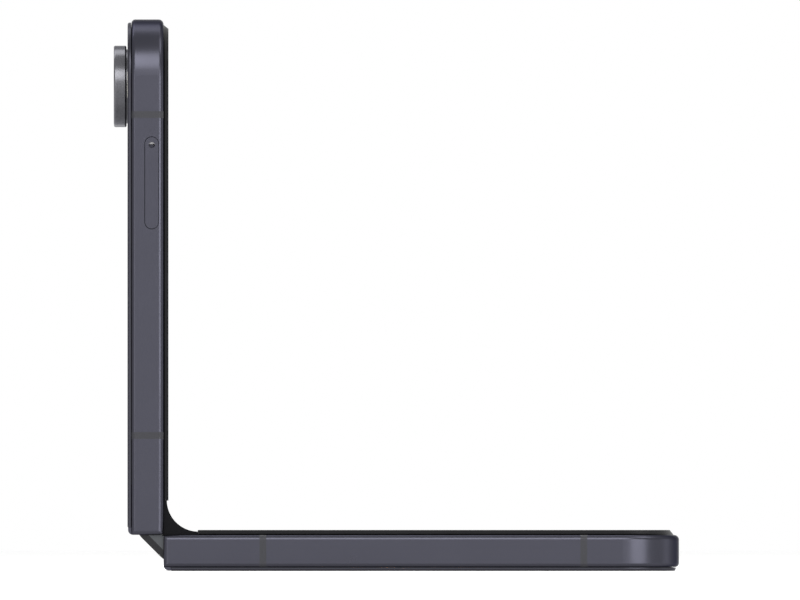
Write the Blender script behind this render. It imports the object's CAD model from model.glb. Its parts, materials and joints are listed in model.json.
# %% [markdown]
# # A foldable phone, half open
# The phone stands on a table with its hinge at a right angle. Its construction comes ready made
# as a frame of solids with joints. This lesson dresses that frame: each solid gets the finish of
# the real piece, and the soft pieces that bend with the hinge are modelled anew, because a rigid
# solid can't bend.

# %% Load the frame
import json
import math

import bmesh
import bpy
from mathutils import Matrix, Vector


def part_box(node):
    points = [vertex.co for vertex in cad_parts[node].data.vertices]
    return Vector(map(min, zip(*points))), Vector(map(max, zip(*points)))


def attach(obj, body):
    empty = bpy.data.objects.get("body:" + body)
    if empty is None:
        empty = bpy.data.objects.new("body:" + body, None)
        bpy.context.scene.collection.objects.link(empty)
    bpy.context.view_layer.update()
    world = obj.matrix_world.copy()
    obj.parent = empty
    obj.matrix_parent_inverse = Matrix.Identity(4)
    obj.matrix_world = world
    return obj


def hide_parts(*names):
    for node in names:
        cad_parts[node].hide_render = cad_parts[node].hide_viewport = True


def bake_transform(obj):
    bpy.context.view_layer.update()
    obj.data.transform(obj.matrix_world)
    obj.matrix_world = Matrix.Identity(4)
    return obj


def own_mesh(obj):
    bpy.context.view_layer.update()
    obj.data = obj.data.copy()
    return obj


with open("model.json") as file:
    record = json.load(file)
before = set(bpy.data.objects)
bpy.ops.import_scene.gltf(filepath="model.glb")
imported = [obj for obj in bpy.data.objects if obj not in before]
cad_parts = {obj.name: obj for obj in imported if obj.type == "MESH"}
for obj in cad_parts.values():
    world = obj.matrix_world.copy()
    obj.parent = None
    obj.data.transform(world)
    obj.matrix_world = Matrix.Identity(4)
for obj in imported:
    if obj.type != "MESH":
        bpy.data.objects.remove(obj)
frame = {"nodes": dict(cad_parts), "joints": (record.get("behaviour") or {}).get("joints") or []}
nodes = frame["nodes"]
joints = {joint["name"]: joint for joint in frame["joints"]}
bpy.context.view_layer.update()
MM = 0.001
print("solids:", len(nodes), "joints:", sorted(joints))

# %% [markdown]
# ## Where things are
# The new pieces have to meet the solids exactly. Their places could be typed in as numbers, but
# then each change of size would have to be made twice, so every place is worked out from the
# solids and the joints. The two hinge axes give the spine's own directions: `along` runs from the
# upper pivot to the lower one, and `out` points from the spine into the space between the
# displays.

# %% Measure the frame
def in_mm(values):
    return [round(value / MM, 3) for value in values]


lower_low, lower_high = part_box("lower_frame")
lower_pivot = Vector(joints["hinge_lower"]["pos_m"])
upper_pivot = Vector(joints["hinge_upper"]["pos_m"])
along = (lower_pivot - upper_pivot).normalized()
out = Vector((-along.z, 0, along.x))
pivot_offset = (lower_pivot - upper_pivot).length / 2
spine_middle = (lower_pivot + upper_pivot) / 2
frame_front = lower_high[2]
pivot_drop = frame_front - lower_pivot.z
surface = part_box("lower_display_panel")[1][2] - frame_front
print("pivots apart and display above the frame:", in_mm((2 * pivot_offset, surface)), "mm")

# %% [markdown]
# ## Helpers for materials
# Each finish is a material with one Principled shader, and each solid wears one finish. Materials
# could be set up by hand in the editor, but two dozen of them would soon drift apart. One helper
# makes a material from its values, and another puts a finish on any number of solids.

# %% Material helpers
def material(name, color, metallic, roughness, **sockets):
    """A material whose Principled shader has the given values."""
    made = bpy.data.materials.new(name)
    made.use_nodes = True
    shader = made.node_tree.nodes["Principled BSDF"]
    shader.inputs["Base Color"].default_value = (*color, 1)
    shader.inputs["Metallic"].default_value = metallic
    shader.inputs["Roughness"].default_value = roughness
    for socket, value in sockets.items():
        shader.inputs[socket.replace("_", " ")].default_value = value
    return made


def dress(finish, *names):
    """Gives solids one finish, on all their slots."""
    for name in names:
        mesh = nodes[name].data
        mesh.materials.clear()
        mesh.materials.append(finish)


print("material helpers:", [helper.__name__ for helper in (material, dress)])

# %% [markdown]
# ## Helpers for nodes
# Grain, marks and masks are worked out by nodes in front of the shader. They could be drawn by
# hand in the shader editor. Written as code they can be repeated and compared, so a few helpers
# add a node, do a step of arithmetic and read the place of a point on the object.

# %% Node helpers
def node(tree, kind, x, y, **values):
    """One node at a place on the sheet of nodes, with its settings."""
    made = tree.nodes.new(kind)
    made.location = (x, y)
    for name, value in values.items():
        setattr(made, name, value)
    return made


def math_node(tree, operation, first, second, x, y):
    """One step of arithmetic: each operand is a number or a socket."""
    step = node(tree, "ShaderNodeMath", x, y, operation=operation)
    for socket, value in zip(step.inputs, (first, second)):
        if isinstance(value, (int, float)):
            socket.default_value = value
        else:
            tree.links.new(value, socket)
    return step.outputs[0]


def object_place(tree, x, y):
    """Place of a point on the object, in metres."""
    return node(tree, "ShaderNodeTexCoord", x, y).outputs["Object"]


print("node helpers:", [helper.__name__ for helper in (node, math_node, object_place)])

# %% [markdown]
# ## Fine grain
# Blasted metal, moulded plastic and rubber all have a grain that is felt more than seen. It could
# be modelled as real bumps, at the price of millions of faces, or painted as an image, which blurs
# close up. Noise at the right scale is sharp at any distance. Many finishes share it, so it is a
# node group, which puts out only the tilt of the surface and leaves the shader in the material.

# %% Grain group
MM_PER_METRE = 1000
GRAIN_HEIGHT = 0.02 * MM


def group(name, inputs, output, kind):
    """A node group with number inputs and one output."""
    made = bpy.data.node_groups.new(name, "ShaderNodeTree")
    for label, default in inputs:
        socket = made.interface.new_socket(label, in_out="INPUT", socket_type="NodeSocketFloat")
        socket.default_value = default
    made.interface.new_socket(output, in_out="OUTPUT", socket_type=kind)
    start = node(made, "NodeGroupInput", -700, 0)
    end = node(made, "NodeGroupOutput", 500, 0)
    return made, start.outputs, end.inputs[output]


def noise(tree, size_mm, detail):
    """Noise whose patches are as wide as a socket says, in millimetres."""
    made = node(tree, "ShaderNodeTexNoise", -300, 0)
    made.inputs["Detail"].default_value = detail
    tree.links.new(object_place(tree, -700, -200), made.inputs["Vector"])
    scale = math_node(tree, "DIVIDE", MM_PER_METRE, size_mm, -500, 100)
    tree.links.new(scale, made.inputs["Scale"])
    return made


grain, grain_in, grain_out = group(
    "Fine grain", [("Size mm", 0.05), ("Depth", 0.2)], "Normal", "NodeSocketVector"
)
speckle = noise(grain, grain_in["Size mm"], 3)
lift = node(grain, "ShaderNodeBump", 100, 0)
lift.inputs["Distance"].default_value = GRAIN_HEIGHT
grain.links.new(speckle.outputs["Fac"], lift.inputs["Height"])
grain.links.new(grain_in["Depth"], lift.inputs["Strength"])
grain.links.new(lift.outputs["Normal"], grain_out)
print("grain height:", in_mm([GRAIN_HEIGHT]), "mm")

# %% [markdown]
# ## Handling marks
# A phone that has been held is never evenly glossy: skin oil leaves soft, duller patches. Smudges
# could be laid on as a second layer of colour, but they hardly change the colour, only the gloss.
# So wide, bent noise swings the roughness between a smooth and a dull value.

# %% Handling group
SMUDGE_WARP = 0.6
NOISE_LOW, NOISE_HIGH = 0.3, 0.7
handling, handling_in, handling_out = group(
    "Handling marks",
    [("Smooth", 0.25), ("Dull", 0.4), ("Size mm", 9.0)],
    "Roughness",
    "NodeSocketFloat",
)
patches = noise(handling, handling_in["Size mm"], 4)
patches.inputs["Distortion"].default_value = SMUDGE_WARP
spread = node(handling, "ShaderNodeMapRange", 100, 0)
spread.inputs["From Min"].default_value = NOISE_LOW
spread.inputs["From Max"].default_value = NOISE_HIGH
handling.links.new(patches.outputs["Fac"], spread.inputs["Value"])
handling.links.new(handling_in["Smooth"], spread.inputs["To Min"])
handling.links.new(handling_in["Dull"], spread.inputs["To Max"])
handling.links.new(spread.outputs["Result"], handling_out)
print("handling marks:", [socket.name for socket in handling_in if socket.name])

# %% [markdown]
# ## Finishes with both effects
# Nearly every finish here has marks and grain, each in its own strength: metal a fine, shallow
# grain, rubber a coarser one. The groups could be wired into each material by hand. One function
# does it the same way every time, and the shader itself stays in the material.

# %% Textured finish
def textured(name, color, metallic, smooth, dull, grain_mm, depth, **sockets):
    """A finish with marks between smooth and dull, and a grain of some width and depth."""
    made = material(name, color, metallic, dull, **sockets)
    tree = made.node_tree
    shader = tree.nodes["Principled BSDF"]
    marks = node(tree, "ShaderNodeGroup", -300, -100, node_tree=handling)
    marks.inputs["Smooth"].default_value = smooth
    marks.inputs["Dull"].default_value = dull
    fine = node(tree, "ShaderNodeGroup", -300, -300, node_tree=grain)
    fine.inputs["Size mm"].default_value = grain_mm
    fine.inputs["Depth"].default_value = depth
    tree.links.new(marks.outputs["Roughness"], shader.inputs["Roughness"])
    tree.links.new(fine.outputs["Normal"], shader.inputs["Normal"])
    return made


print("node groups:", [made.name for made in bpy.data.node_groups])

# %% [markdown]
# ## The metal
# Frames, tray, keys and spine cover are aluminium, bead blasted and anodised in a graphite tone
# with a trace of violet. Such metal could be made as a dark plastic with a gloss on top, but its
# reflections would stay white. A fully metallic shader tints them, so its colour is the tone of
# its reflections. The dark specular tint keeps the metal from turning bright at low angles, where
# the oxide layer swallows light.

# %% Outer metal
DARK_EDGE = (0.4, 0.4, 0.42, 1)
graphite = textured(
    "Graphite anodised metal", (0.044, 0.044, 0.056), 1.0, 0.27, 0.33, 0.06, 0.05,
    Specular_Tint=DARK_EDGE,
)
spine_metal = textured(
    "Spine metal", (0.075, 0.077, 0.086), 1.0, 0.24, 0.32, 0.06, 0.1, Specular_Tint=DARK_EDGE
)
cap_metal = textured("End cap metal", (0.05, 0.053, 0.057), 0.8, 0.35, 0.5, 0.08, 0.15)
dress(graphite, "lower_frame", "upper_frame", "card_tray", "side_key", "volume_key")
dress(spine_metal, "spine_cover")
dress(cap_metal, "spine_end_caps")
print("outer metal:", graphite.name, "/", spine_metal.name, "/", cap_metal.name)

# %% [markdown]
# ## The mechanism
# Plates and arms are pressed or moulded from steel, pins and screws are ground bright, the small
# gears are of a yellowish alloy, and the charging coil is copper. Each piece could have a finish
# of its own, but they are seen only through gaps. One finish for each way of making is enough,
# because tone and gloss tell them apart.

# %% Inner metal
steel = textured("Pressed steel", (0.55, 0.55, 0.56), 1.0, 0.28, 0.4, 0.1, 0.15)
bright_steel = textured("Ground steel", (0.68, 0.68, 0.7), 1.0, 0.16, 0.26, 0.05, 0.08)
brass = textured("Gear alloy", (0.62, 0.55, 0.36), 1.0, 0.25, 0.38, 0.05, 0.1)
copper = textured("Coil copper", (0.75, 0.35, 0.18), 1.0, 0.25, 0.4, 0.12, 0.2)
dress(steel, "lower_wing_plate", "upper_wing_plate", "lower_hinge_arms", "upper_hinge_arms")
dress(steel, "hinge_brackets", "card_reader", "vibration_motor")
dress(bright_steel, "hinge_pins", "disc_springs", "lower_screws", "upper_screws")
dress(brass, "lower_idler_gears", "upper_idler_gears")
dress(copper, "wireless_coil")
print("inner metal:", [made.name for made in (steel, bright_steel, brass, copper)])

# %% [markdown]
# ## Plastics and rubber
# The display rims are matt black plastic, the antenna breaks a plastic tinted to sit close to the
# metal but duller, and the guards soft black rubber. Black plastic could simply be given a black
# colour, yet seen along its surface it would still shine white. A refractive index below the real
# one stands in for the fine pores that keep such plastic dark at every angle. Inside, the camera
# barrels carry a coating that swallows light, foil wraps the batteries, and flex is amber film.

# %% Plastic finishes
rim_black = textured(
    "Rim plastic", (0.006, 0.006, 0.007), 0.0, 0.32, 0.46, 0.09, 0.25, IOR=1.2
)
break_grey = textured(
    "Antenna break plastic", (0.022, 0.022, 0.027), 0.0, 0.4, 0.55, 0.07, 0.15, IOR=1.35
)
guard_black = textured(
    "Fold guard rubber", (0.005, 0.005, 0.006), 0.0, 0.45, 0.6, 0.08, 0.3, IOR=1.12
)
housing_black = textured("Housing plastic", (0.02, 0.02, 0.022), 0.0, 0.4, 0.55, 0.1, 0.3)
barrel_black = textured(
    "Barrel coating", (0.003, 0.003, 0.004), 0.0, 0.5, 0.65, 0.1, 0.2, IOR=1.15
)
foil = textured("Battery foil", (0.03, 0.031, 0.035), 0.2, 0.35, 0.5, 0.6, 0.35)
polyimide = textured("Amber flex", (0.32, 0.13, 0.03), 0.0, 0.25, 0.35, 0.3, 0.1)
dress(break_grey, "lower_antenna_breaks", "upper_antenna_breaks")
dress(housing_black, "loudspeaker", "earpiece_speaker")
dress(barrel_black, "camera_modules")
dress(foil, "lower_battery", "upper_battery")
dress(polyimide, "key_switches")
print("plastics:", [made.name for made in (rim_black, break_grey, guard_black, housing_black)])

# %% [markdown]
# ## Glass
# The back glass is etched and has a metallic coat behind it, so it scatters a tinted reflection.
# The displays are smooth, with a coating against glare: clear glass over a black layer would need
# a second surface and more light paths, while one black surface with a low refractive index gives
# the same faint, sharp mirror. Only the camera lenses are really transparent, with the thin film
# that lends coated lenses their bluish glint. The selfie lens shows a dark disc, the flash a
# milky one.

# %% Glass finishes
etched_glass = textured(
    "Etched back glass", (0.032, 0.032, 0.04), 0.7, 0.3, 0.34, 0.05, 0.01, Specular_Tint=DARK_EDGE
)
screen = textured(
    "Display glass", (0.004, 0.004, 0.005), 0.0, 0.05, 0.07, 0.4, 0.002, IOR=1.25
)
lens_dark = textured(
    "Selfie lens", (0.003, 0.003, 0.006), 0.0, 0.03, 0.06, 0.4, 0.01, Specular_IOR_Level=0.25
)
lens_clear = material(
    "Coated lens glass", (0.75, 0.8, 0.95), 0.0, 0.02, Transmission_Weight=1.0, IOR=1.5,
    Thin_Film_Thickness=115.0, Thin_Film_IOR=1.38,
)
flash_milk = textured("Flash diffuser", (0.8, 0.77, 0.66), 0.0, 0.35, 0.5, 0.25, 0.4)
dress(etched_glass, "lower_back_glass", "upper_back_glass")
dress(screen, "cover_screen")
dress(lens_dark, "selfie_camera")
dress(lens_clear, "camera_lenses")
dress(flash_milk, "flash_lens")
print("glass:", [made.name for made in (etched_glass, screen, lens_dark, lens_clear, flash_milk)])

# %% [markdown]
# ## Patterns round an axis
# Grooves on the camera rings and steps on the flash lens both run in circles. They could be
# painted on images laid round each piece, but their height depends only on the distance from an
# axis. One helper measures that distance, and another turns a height into relief.

# %% Distance from an axis
def axis_distance(tree, centres):
    """Distance of a point from the nearest of the axes that run along x through some centres."""
    place = object_place(tree, -1500, 300)
    flat = node(tree, "ShaderNodeVectorMath", -1300, 300, operation="MULTIPLY")
    flat.inputs[1].default_value = (0, 1, 1)
    tree.links.new(place, flat.inputs[0])
    nearest = None
    for centre in centres:
        radius = node(tree, "ShaderNodeVectorMath", -1100, 300, operation="DISTANCE")
        radius.inputs[1].default_value = (0, centre[1], centre[2])
        tree.links.new(flat.outputs[0], radius.inputs[0])
        distance = radius.outputs["Value"]
        if nearest is not None:
            distance = math_node(tree, "MINIMUM", nearest, distance, -900, 300)
        nearest = distance
    return nearest, place


def raised(tree, height, strength, distance):
    """Uses a height as the relief of the tree's shader."""
    lift = node(tree, "ShaderNodeBump", -150, 300)
    lift.inputs["Distance"].default_value = distance
    lift.inputs["Strength"].default_value = strength
    tree.links.new(height, lift.inputs["Height"])
    tree.links.new(lift.outputs["Normal"], tree.nodes["Principled BSDF"].inputs["Normal"])


print("pattern helpers:", [helper.__name__ for helper in (axis_distance, raised)])

# %% [markdown]
# ## Turned rings
# The camera rings are cut on a lathe, so fine grooves run round them and break the reflection into
# bands. The grooves are far too fine to model. Noise read along the distance from the ring's axis
# gives them instead: it changes quickly outwards and not at all round the ring.

# %% Turned metal
GROOVES_PER_METRE = 9000
GROOVE_DEPTH = 0.02 * MM
GROOVE_STRENGTH = 0.35
ring_low, ring_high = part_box("camera_rings")
ring_radius = (ring_high[2] - ring_low[2]) / 2
ring_level = (ring_low[2] + ring_high[2]) / 2
ring_sides = (ring_low[1] + ring_radius, ring_high[1] - ring_radius)
turned = textured(
    "Turned ring metal", (0.11, 0.11, 0.12), 1.0, 0.24, 0.34, 0.05, 0.05,
    Specular_Tint=(0.6, 0.6, 0.62, 1),
)
tree = turned.node_tree
nearest, place = axis_distance(tree, [(0, y, ring_level) for y in ring_sides])
depth = node(tree, "ShaderNodeSeparateXYZ", -1100, 500)
tree.links.new(place, depth.inputs[0])
turn = node(tree, "ShaderNodeCombineXYZ", -700, 300)
tree.links.new(nearest, turn.inputs[0])
tree.links.new(depth.outputs["X"], turn.inputs[1])
grooves = node(tree, "ShaderNodeTexNoise", -500, 300)
grooves.inputs["Scale"].default_value = GROOVES_PER_METRE
grooves.inputs["Detail"].default_value = 2
tree.links.new(turn.outputs[0], grooves.inputs["Vector"])
raised(tree, grooves.outputs["Fac"], GROOVE_STRENGTH, GROOVE_DEPTH)
dress(turned, "camera_rings")
print("ring radius and middles:", in_mm([ring_radius, *ring_sides, ring_level]), "mm")

# %% [markdown]
# ## The flash
# The flash sits behind a pressed lens with ring shaped steps, which spread the light. The steps
# could be turned as geometry, but they are seen only as faint rings. A sawtooth of the distance
# from the middle gives the same rings as relief.

# %% Flash lens
step_width = 0.3 * MM
step_height = 0.12 * MM
step_strength = 0.8
flash_low, flash_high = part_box("flash_lens")
flash_centre = [(low + high) / 2 for low, high in zip(flash_low, flash_high)]
tree = flash_milk.node_tree
nearest = axis_distance(tree, [flash_centre])[0]
steps = math_node(tree, "DIVIDE", nearest, step_width, -700, 300)
teeth = math_node(tree, "PINGPONG", steps, 0.5, -500, 300)
raised(tree, teeth, step_strength, step_height)
print("flash across and step width:", in_mm([flash_high[2] - flash_low[2], step_width]), "mm")

# %% [markdown]
# ## Two finishes on one solid
# Some solids carry more than one finish, as where plastic is moulded onto metal. The faces could
# be sorted into two materials, but the border seldom follows the faces. A mask made from the
# distance to a plane draws it anywhere, and the solid stays whole. Where the mask is 1, the
# shader takes the other colour and the other share of metal.

# %% Masks
def along_axis(tree, axis, y):
    """Place of a point along one axis."""
    split = node(tree, "ShaderNodeSeparateXYZ", -1700, y)
    tree.links.new(object_place(tree, -1900, y), split.inputs[0])
    return split.outputs[axis]


def near_plane(tree, axis, level, reach, y):
    """A mask that is 1 where a point's distance from a plane across an axis is under reach."""
    offset = math_node(tree, "SUBTRACT", along_axis(tree, axis, y), level, -1500, y)
    distance = math_node(tree, "ABSOLUTE", offset, 0.0, -1300, y)
    return math_node(tree, "LESS_THAN", distance, reach, -1100, y)


def second_finish(tree, mask, color, metallic, y):
    """Mixes a second colour and share of metal into the shader by a mask."""
    shader = tree.nodes["Principled BSDF"]
    changes = (("Base Color", (*color, 1), "RGBA"), ("Metallic", metallic, "FLOAT"))
    for name, value, kind in changes:
        mix = node(tree, "ShaderNodeMix", -500, y, data_type=kind)
        factor, first, second = [socket for socket in mix.inputs if socket.enabled][:3]
        tree.links.new(mask, factor)
        second.default_value = value
        target = shader.inputs[name]
        if target.is_linked:
            tree.links.new(target.links[0].from_socket, first)
        else:
            first.default_value = target.default_value
        tree.links.new([socket for socket in mix.outputs if socket.enabled][0], target)


print("mask helpers:", [helper.__name__ for helper in (along_axis, near_plane, second_finish)])

# %% [markdown]
# ## The spine's lips
# At both ends the spine's metal cover wears a black plastic lip, which keeps metal from rubbing
# on metal. The lip could be a thin solid of its own, but it continues the cover's shape without
# a step. So all that lies outside a band around the cover's middle takes the second finish.

# %% Spine lips
cover_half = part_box("spine_cover")[1][1]
lip = 0.5 * MM
tree = spine_metal.node_tree
inside = near_plane(tree, "Y", 0.0, cover_half - lip, 500)
outside = math_node(tree, "SUBTRACT", 1.0, inside, -900, 500)
second_finish(tree, outside, (0.008, 0.008, 0.009), 0.0, 500)
print("plastic lips at the ends of the spine's cover:", in_mm([lip]), "mm wide")

# %% [markdown]
# ## The seam under the rims
# Each display rim is glued onto its frame, and the joint shows as a thin dark line. It could be a
# bead of its own, but it lies flush. So it is a mask as well: a band at the foot of the rim that
# is black and metallic. A metal mirrors light in its own colour, so a black one stays dark even
# where plastic would shine.

# %% Rim seams
seam = 0.2 * MM
upper_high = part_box("upper_frame")[1]
for half, axis, level in (("lower", "Z", lower_high[2]), ("upper", "X", upper_high[0])):
    rim_finish = rim_black.copy()
    rim_finish.name = half.title() + " rim plastic"
    tree = rim_finish.node_tree
    foot = near_plane(tree, axis, level, seam, 500)
    second_finish(tree, foot, (0.001, 0.001, 0.001), 1.0, 500)
    dress(rim_finish, half + "_display_rim")
print("rim seams:", in_mm([seam]), "mm high")

# %% [markdown]
# ## The connector
# Inside the connector's steel shell a black tongue carries a row of gilded contacts. Each contact
# could be a piece of its own, far smaller than anything else here. Three masks do the same: the
# tongue by its level and width, the contacts by stripes across it at their real pitch.

# %% Connector
tongue_half_thick = 0.4 * MM
tongue_inset = 1.0 * MM
contact_inset = 1.6 * MM
contact_pitch = 0.5 * MM
stripe_share = 0.26
port_low, port_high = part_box("charging_port")
port_level = (port_low[2] + port_high[2]) / 2
port_half = (port_high[1] - port_low[1]) / 2
shell_steel = textured("Connector steel", (0.42, 0.42, 0.43), 1.0, 0.25, 0.35, 0.1, 0.1)
tree = shell_steel.node_tree
level_mask = near_plane(tree, "Z", port_level, tongue_half_thick, 500)
width_mask = near_plane(tree, "Y", 0.0, port_half - tongue_inset, 800)
tongue = math_node(tree, "MULTIPLY", level_mask, width_mask, -900, 650)
turns = math_node(tree, "DIVIDE", along_axis(tree, "Y", 1100), contact_pitch, -1500, 1100)
wave = math_node(tree, "PINGPONG", turns, 0.5, -1300, 1100)
stripe = math_node(tree, "LESS_THAN", wave, stripe_share, -1100, 1100)
contact_mask = near_plane(tree, "Y", 0.0, port_half - contact_inset, 1400)
stripes = math_node(tree, "MULTIPLY", stripe, contact_mask, -900, 1250)
contacts = math_node(tree, "MULTIPLY", stripes, tongue, -700, 1000)
second_finish(tree, tongue, (0.012, 0.012, 0.013), 0.0, 650)
second_finish(tree, contacts, (0.75, 0.52, 0.2), 1.0, 1000)
dress(shell_steel, "charging_port")
print("connector width and contact pitch:", in_mm([2 * port_half, contact_pitch]), "mm")

# %% [markdown]
# ## Circuit boards
# A board is green solder mask with copper traces showing through as slightly lighter lines. The
# traces could be drawn one by one, but no one follows them inside a closed phone. A brick texture
# gives straight runs at right angles without any drawing.

# %% Board finish
TRACE_SCALE = 260
TRACE_SHARE = 0.03
MASK_GREEN = (0.01, 0.07, 0.045)
board_green = textured("Solder mask", MASK_GREEN, 0.0, 0.25, 0.4, 0.2, 0.1)
tree = board_green.node_tree
traces = node(tree, "ShaderNodeTexBrick", -800, 300)
traces.inputs["Scale"].default_value = TRACE_SCALE
traces.inputs["Mortar Size"].default_value = TRACE_SHARE
traces.inputs["Color1"].default_value = (*MASK_GREEN, 1)
traces.inputs["Color2"].default_value = (0.012, 0.08, 0.05, 1)
traces.inputs["Mortar"].default_value = (0.04, 0.14, 0.08, 1)
tree.links.new(object_place(tree, -1100, 300), traces.inputs["Vector"])
tree.links.new(traces.outputs["Color"], tree.nodes["Principled BSDF"].inputs["Base Color"])
dress(board_green, "main_board", "charging_board")
print("boards:", board_green.name)

# %% [markdown]
# ## Where the phone bends
# The display film, its guards and the ribbon cable follow both halves. A simulation could bend
# them, but their shape is known: each is made in two pieces that meet in the middle of the spine,
# and each piece bends about its own pivot. Places are given as on the flat phone, by their reach
# from that middle and their level above the frames, and are then turned about the pivot.

# %% Turning about a pivot
FOLD = math.radians(45)


def spine_place(x, z):
    """Point in space of a place in the spine: x along the pivots, z above the frame fronts."""
    return spine_middle + along * x + out * (z + pivot_drop)


def turned_about(side, flat, share):
    """Turns a place on the flat phone about its half's pivot by a share of the fold."""
    x = flat[0] - pivot_offset
    z = flat[1] + pivot_drop
    cosine = math.cos(FOLD * share)
    sine = math.sin(FOLD * share)
    return side * (pivot_offset + x * cosine - z * sine), x * sine + z * cosine - pivot_drop


print("a half's end beside the spine:", in_mm(turned_about(1, (0.0, 0.0), 1.0)), "mm")

# %% [markdown]
# ## The bend solver
# The film has to be truly flat when the phone is open. It could be drawn as an arc for the half
# open phone, but opening it would then leave a wave. So its bent shape is worked backwards: each
# point starts on the flat display and is turned about the pivot by its own share of the fold.
# The share depends on where the point ends up, so the two are found together in small steps.

# %% Bend solver
SOLVER_ROUNDS = 80
SOLVER_PACE = 0.6
bend_reach = 6.1 * MM
bend_start = turned_about(1, (bend_reach, surface), 1.0)
bend_end = (0.0, surface)


def share_at(place):
    """Share of a half's turn that a place takes: 1 on the half, 0 on the spine."""
    run = (bend_end[0] - bend_start[0], bend_end[1] - bend_start[1])
    way = (abs(place[0]) - bend_start[0], place[1] - bend_start[1])
    along_run = (way[0] * run[0] + way[1] * run[1]) / (run[0] ** 2 + run[1] ** 2)
    part = min(1.0, max(0.0, along_run))
    return 1 - part * part * (3 - 2 * part)


def bent(side, reach, level):
    """Place at rest of a point that lies at that reach and level when the phone is flat."""
    share = 1.0
    for _ in range(SOLVER_ROUNDS):
        place = turned_about(side, (reach, level), share)
        share += SOLVER_PACE * (share_at(place) - share)
    return turned_about(side, (reach, level), share)


print("film in the middle of the fold:", in_mm(bent(1, 0.0, surface)), "mm")

# %% [markdown]
# ## Strips
# Film, guards, beads and ribbon are all long strips with a profile in the spine's plane. They
# could be swept along curves, but a closed mesh built row by row keeps every corner where the
# solver put it, and its rows bend evenly.

# %% Strip helper
SHARP_ANGLE = math.radians(35)


def strip(name, upper, lower, spans, finish):
    """Closed strip between two lines in the spine's plane, with a span across for each point."""
    form = bmesh.new()
    rows = []
    for top, bottom, (left, right) in zip(upper, lower, spans):
        row = []
        for place, y in ((top, left), (top, right), (bottom, right), (bottom, left)):
            point = spine_place(*place)
            row.append(form.verts.new((point.x, y, point.z)))
        rows.append(row)
    for first, second in zip(rows, rows[1:]):
        for here in range(4):
            after = (here + 1) % 4
            form.faces.new((first[here], first[after], second[after], second[here]))
    form.faces.new(rows[0])
    form.faces.new(rows[-1])
    bmesh.ops.recalc_face_normals(form, faces=form.faces)
    mesh = bpy.data.meshes.new(name)
    form.to_mesh(mesh)
    form.free()
    mesh.polygons.foreach_set("use_smooth", [True] * len(mesh.polygons))
    mesh.set_sharp_from_angle(angle=SHARP_ANGLE)
    mesh.materials.append(finish)
    piece = bpy.data.objects.new(name, mesh)
    bpy.context.scene.collection.objects.link(piece)
    return piece


print("edges of a strip stay sharp above", round(math.degrees(SHARP_ANGLE)), "degrees")

# %% [markdown]
# ## Strips that bend
# A strip between a half and the spine has to follow both. Its points could be shared out by
# painted weights.

# %% Bend helper
def bend(piece):
    """Blends a strip between its half and the spine."""
    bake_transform(piece)


print("the fold reaches", in_mm([bend_reach]), "mm to both sides of the middle")

# %% [markdown]
# ## The display
# On the real phone one sheet of glossy film runs from rim to rim. One sheet would have to follow
# two joints at once, so it is made as two that meet in the middle of the spine, where neither
# turns. Each slides under the lip of its rim, and its free corners follow the rim's. The rows lie
# close together in the fold and in the corners, and far apart where the film is flat.

# %% Display halves
FOLD_STEPS = 44
CORNER_STEPS = 16
PAST_FOLD = 1.15
film_thick = 0.4 * MM
corner = 7.2 * MM
fold_low, fold_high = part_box("display_fold")
film_half = (fold_high[1] - fold_low[1]) / 2
panel_low, panel_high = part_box("lower_display_panel")
panel_inset = (panel_high[1] - panel_low[1]) / 2 - film_half
film_end = panel_high[0] - (lower_pivot.x - pivot_offset) - panel_inset


def film_side(reach):
    """Half width of the film at a reach."""
    into = max(0.0, reach - (film_end - corner))
    return film_half - corner + math.sqrt(max(0.0, corner**2 - into**2))


stations = [bend_reach * PAST_FOLD * i / FOLD_STEPS for i in range(FOLD_STEPS + 1)]
for i in range(CORNER_STEPS + 1):
    stations.append(film_end - corner * (1 - math.sin(math.pi / 2 * i / CORNER_STEPS)))
displays = {}
HALVES = ((1, "lower"), (-1, "upper"))
for side, half in HALVES:
    top = [bent(side, reach, surface) for reach in stations]
    under = [bent(side, reach, surface - film_thick) for reach in stations]
    spans = [(-film_side(reach), film_side(reach)) for reach in stations]
    displays[side] = strip(half + "_display", top, under, spans, screen)
print("display reaches", in_mm([film_end]), "mm from the middle")

# %% [markdown]
# ## The selfie camera's hole
# The camera looks through a round hole in the upper display. A dark disc laid on the film would
# look alike from the front, but not from the side. A boolean cut makes a real hole, and its result
# is applied at once, so that the film can still bend.

# %% Selfie camera hole
hole_radius = 1.7 * MM
punch_length = 4 * MM
hole_low, hole_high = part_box("selfie_camera")
hole_middle = [(low + high) / 2 for low, high in zip(hole_low, hole_high)]
bpy.ops.mesh.primitive_cylinder_add(
    vertices=64, radius=hole_radius, depth=punch_length,
    location=(hole_high[0], hole_middle[1], hole_middle[2]), rotation=(0, math.pi / 2, 0),
)
punch = bpy.context.object
cut = displays[-1].modifiers.new("hole", "BOOLEAN")
cut.object = punch
cut.operation = "DIFFERENCE"
cut.solver = "EXACT"
holed = displays[-1].evaluated_get(bpy.context.evaluated_depsgraph_get())
shaped = bpy.data.meshes.new_from_object(holed)
displays[-1].modifiers.clear()
displays[-1].data = shaped
bpy.data.objects.remove(punch)
for side, half in HALVES:
    bend(displays[side])
    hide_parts(half + "_display_panel", "display_fold")
print("hole:", in_mm([2 * hole_radius]), "mm across")

# %% [markdown]
# ## The fold guards
# At both ends of the fold a soft black guard covers the film's edge. One rigid bow would stand up
# like a hump when the phone is opened. So each guard is a pair of bars that bend with the film
# and lie level when the phone is flat. Below, each bar is thick enough to hide the mechanism, but
# never sinks under the line where the two frames meet.

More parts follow.
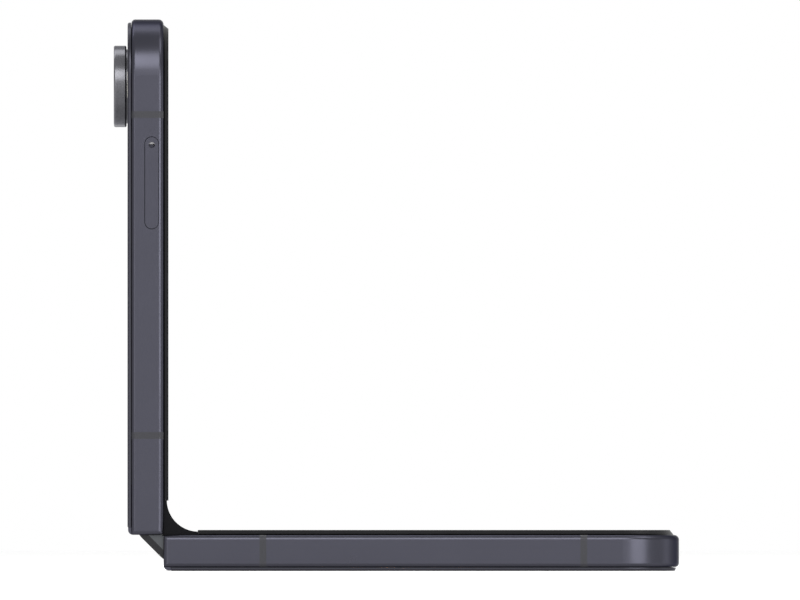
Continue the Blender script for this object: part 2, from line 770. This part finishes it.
# %% Guards
GUARD_STEPS = 32
guard_level = 0.55 * MM
guard_foot = -0.15 * MM
guard_root = 0.25 * MM
side_gap = 0.1 * MM
hinge_end = lower_low[0]
rim_low, rim_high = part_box("lower_display_rim")
rim_end_reach = rim_low[0] - hinge_end + side_gap
guard_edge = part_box("fold_guards")[1][1]
guard_sides = {
    "far": (film_half + side_gap, guard_edge),
    "near": (-guard_edge, -film_half - side_gap),
}


def corner_level(level):
    """Place, in the middle of the spine, where a level of one half meets that of the other."""
    return math.sqrt(2) * (pivot_drop + level) - pivot_offset - pivot_drop


guard_top = {}
reaches = [rim_end_reach * i / GUARD_STEPS for i in range(GUARD_STEPS + 1)]
for side, half in HALVES:
    guard_top[side] = [bent(side, reach, guard_level) for reach in reaches]
    under = []
    for reach in reaches:
        x, z = bent(side, reach, guard_foot)
        under.append((x, min(z, corner_level(0.0) + abs(x) - guard_root)))
    for end_name, span in guard_sides.items():
        spans = [span] * len(under)
        guard = strip(f"{half}_guard_{end_name}", guard_top[side], under, spans, guard_black)
        bend(guard)
        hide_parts("fold_guards")
print("guard in the middle of the fold:", in_mm(guard_top[1][0]), "mm")

# %% [markdown]
# ## The foam lips
# While the phone stands half open, a foam lip on each guard rounds off the inner corner in one
# smooth arc from rim to rim. Foam could be simulated, but all it does is give way: it is pressed
# flat by the time the phone is open or shut. So it is an arc on top of the bars that rides on the
# spine and is squashed towards them as the hinge turns.

# %% Foam lips
guard_radius = 5.07 * MM
lip_overlap = 0.04 * MM
lip_gap = 0.01 * MM
arc_middle = corner_level(guard_level) + guard_radius * math.sqrt(2)


def bar_level(x):
    """Level of the bars' upper side at a place along the spine."""
    line = guard_top[1]
    for first, second in zip(line, line[1:]):
        if first[0] <= abs(x) <= second[0]:
            mix = (abs(x) - first[0]) / (second[0] - first[0])
            return first[1] + (second[1] - first[1]) * mix
    return line[-1][1]


lip_top, lip_under = [], []
for i in range(-GUARD_STEPS, GUARD_STEPS + 1):
    angle = FOLD * i / GUARD_STEPS
    x = guard_radius * math.sin(angle)
    z = arc_middle - guard_radius * math.cos(angle)
    lip_top.append((x, z))
    lip_under.append((x, min(bar_level(x), z) - lip_overlap))
for end_name, (left, right) in guard_sides.items():
    spans = [(left + lip_gap, right - lip_gap)] * len(lip_top)
    foam = strip(f"guard_lip_{end_name}", lip_top, lip_under, spans, guard_black)
    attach(foam, "spine")
    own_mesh(foam)
    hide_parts("fold_guards")
lip_middle = lip_top[GUARD_STEPS][1] - lip_under[GUARD_STEPS][1]
print("foam lip in the middle:", in_mm([lip_middle]), "mm thick")

# %% [markdown]
# ## The glue line
# The back glasses are glued in. At the hinge end the joint faces outwards, so a thin black bead
# of adhesive shows between the glass and the metal lip. A dark mask on the frame would not close
# the open slit, so the bead is a strip that fills it and rides on its half.

# %% Glue line
bead_from, bead_to = 1.33 * MM, 1.45 * MM
bead_top, bead_low = -5.22 * MM, -5.7 * MM
bead_inset = 0.7 * MM
bead_half = (lower_high[1] - lower_low[1]) / 2 - bead_inset
for side, half in HALVES:
    top = [turned_about(side, (reach, bead_top), 1.0) for reach in (bead_from, bead_to)]
    under = [turned_about(side, (reach, bead_low), 1.0) for reach in (bead_from, bead_to)]
    bead = strip(half + "_glue_line", top, under, [(-bead_half, bead_half)] * 2, guard_black)
    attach(bead, half + "_half")
print("bead:", in_mm([2 * bead_half, bead_to - bead_from, bead_top - bead_low]), "mm")

# %% [markdown]
# ## The ribbon cable
# A thin amber ribbon joins the boards of the two halves below the film. Pulled straight it would
# tear at the first fold, so the real one is laid with slack. A cloth simulation could find how it
# hangs. A soft wave, added to the flat shape before the solver bends it, gives the same slack and
# moves with the hinge. Two ribbons meet in the middle of the spine.

# %% Ribbon
CABLE_STEPS = 40
cable_level = -0.76 * MM
cable_thick = 0.16 * MM
cable_reach = 12 * MM
slack_depth = 0.45 * MM
slack_reach = 4 * MM
cable_low, cable_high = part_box("hinge_flex_cable")
stations = [cable_reach * i / CABLE_STEPS for i in range(CABLE_STEPS + 1)]
slack = [slack_depth * (1 + math.cos(math.pi * min(1, reach / slack_reach))) for reach in stations]
for side, half in HALVES:
    top, under = [], []
    for reach, sag in zip(stations, slack):
        top.append(bent(side, reach, cable_level - sag))
        under.append(bent(side, reach, cable_level - sag - cable_thick))
    spans = [(cable_low[1], cable_high[1])] * len(top)
    ribbon = strip(half + "_ribbon", top, under, spans, polyimide)
    bend(ribbon)
    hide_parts("hinge_flex_cable")
print("ribbon:", in_mm([2 * cable_reach, cable_high[1] - cable_low[1], cable_thick]), "mm")

# %% [markdown]
# ## The camera
# The view is a straight side view. An orthographic camera would have no perspective at all, which
# no real lens manages. A very long lens from far away comes close and keeps a trace of it. The
# camera stands level with both displays, so that neither shows its face, and looks from there
# towards the middle of the view.

# %% Camera
VIEW_WIDE, VIEW_HIGH = 800, 600
POINTS_PER_MM = 6.208
EYE_POINT = (168.45, 530)
lens = 1200.0
sensor = 36.0
distance = VIEW_WIDE / POINTS_PER_MM * MM * lens / sensor
rim_height = rim_high[2] - frame_front
eye = Vector((upper_high[0] + rim_height, lower_low[1] - distance, rim_high[2]))
to_right = (VIEW_WIDE / 2 - EYE_POINT[0]) / POINTS_PER_MM * MM
upwards = (EYE_POINT[1] - VIEW_HIGH / 2) / POINTS_PER_MM * MM
aim = Vector((eye.x + to_right, lower_low[1], eye.z + upwards))
camera_data = bpy.data.cameras.new("Camera")
camera_data.lens = lens
camera_data.sensor_width = sensor
camera_data.clip_start = 0.05
camera_data.clip_end = 50
camera = bpy.data.objects.new("Camera", camera_data)
camera.location = eye
camera.rotation_euler = (aim - eye).to_track_quat("-Z", "Y").to_euler()
bpy.context.scene.collection.objects.link(camera)
bpy.context.scene.camera = camera
print("camera:", round(distance, 2), "m away")

# %% [markdown]
# ## The table
# The phone stands on a pale, plain surface that runs into a white background without an edge. A
# sheet of white paper swept up behind the object is what a studio uses. Here a flat floor does
# it: what the camera sees of it, straight or in a mirror, gets a little light of its own, so that
# it matches the background, while the phone's shadow still falls on it.

# %% Table
FLOOR_SIZE = 8
FLOOR_DROP = 0.02 * MM
FLOOR_GLOW = 0.45


def seen_rays(tree):
    """A mask that is 1 for what the camera sees straight, in a reflection or through glass."""
    path = node(tree, "ShaderNodeLightPath", -900, 300).outputs
    mirrored = math_node(tree, "MAXIMUM", path["Is Camera Ray"], path["Is Glossy Ray"], -700, 300)
    return math_node(tree, "MAXIMUM", mirrored, path["Is Transmission Ray"], -500, 300)


table = material(
    "Pale table", (0.9, 0.9, 0.9), 0.0, 0.8, Specular_IOR_Level=0.1, Emission_Color=(1, 1, 1, 1)
)
tree = table.node_tree
glow = math_node(tree, "MULTIPLY", seen_rays(tree), FLOOR_GLOW, -250, 300)
tree.links.new(glow, tree.nodes["Principled BSDF"].inputs["Emission Strength"])
bpy.ops.mesh.primitive_plane_add(size=FLOOR_SIZE, location=(0, 0, -FLOOR_DROP))
floor = bpy.context.object
floor.name = "floor"
floor.data.materials.append(table)
print("floor:", in_mm([FLOOR_DROP]), "mm below the phone")

# %% [markdown]
# ## The world
# The background is plain white. If it lit the phone at full strength, dark metal would look grey
# and flat. So the camera, mirrors and glass see white, while everything else gets only part of
# it.

# %% World
FILL = 0.55
world = bpy.data.worlds.new("Studio")
bpy.context.scene.world = world
world.use_nodes = True
tree = world.node_tree
background = tree.nodes["Background"]
level = node(tree, "ShaderNodeMapRange", -300, 0)
level.inputs["To Min"].default_value = FILL
level.inputs["To Max"].default_value = 1.0
tree.links.new(seen_rays(tree), level.inputs["Value"])
tree.links.new(level.outputs["Result"], background.inputs["Strength"])
background.inputs["Color"].default_value = (1, 1, 1, 1)
bpy.context.scene.view_settings.view_transform = "Standard"
print("fill light:", FILL)

# %% [markdown]
# ## The lamps
# Metal shows its shape by what it mirrors, so each lamp is a softbox placed for one reflection:
# the panel fills the long flanks, the front strip lights the upper half's rounded end, and the
# side strip the lower half's. The rest soften the back and the top. Point lamps would be simpler,
# but they leave only dots on metal.

# %% Lamps
MIDDLE = Vector((0, 0, 0.035))
# name, place in metres, width and height in metres, power in watts
LAMPS = [
    ("Front panel", (0, -1.6, 0.2), (1.6, 0.7), 3.6),
    ("Front strip", (0, -1.05, 0.72), (0.7, 0.64), 7.5),
    ("Side strip", (0.6, -0.93, 0.05), (0.6, 0.36), 5.0),
    ("Right strip", (1.15, 0.2, 0.05), (0.3, 0.36), 0.7),
    ("Left strip", (-0.5, -1.0, 0.1), (0.3, 0.4), 1.2),
    ("Top strip", (0, 0.45, 1.1), (0.8, 0.5), 3.4),
    ("Key", (0.6, -0.3, 1.0), (0.5, 0.5), 3.0),
    ("Back fill", (-0.6, 0.6, 1.0), (0.6, 0.6), 4.0),
]
for name, at, size, power in LAMPS:
    lamp = bpy.data.lights.new(name, "AREA")
    lamp.shape = "RECTANGLE"
    lamp.size, lamp.size_y = size
    lamp.energy = power
    holder = bpy.data.objects.new(name, lamp)
    holder.location = at
    holder.rotation_euler = (MIDDLE - Vector(at)).to_track_quat("-Z", "Y").to_euler()
    bpy.context.scene.collection.objects.link(holder)
print("lamps:", len(LAMPS))
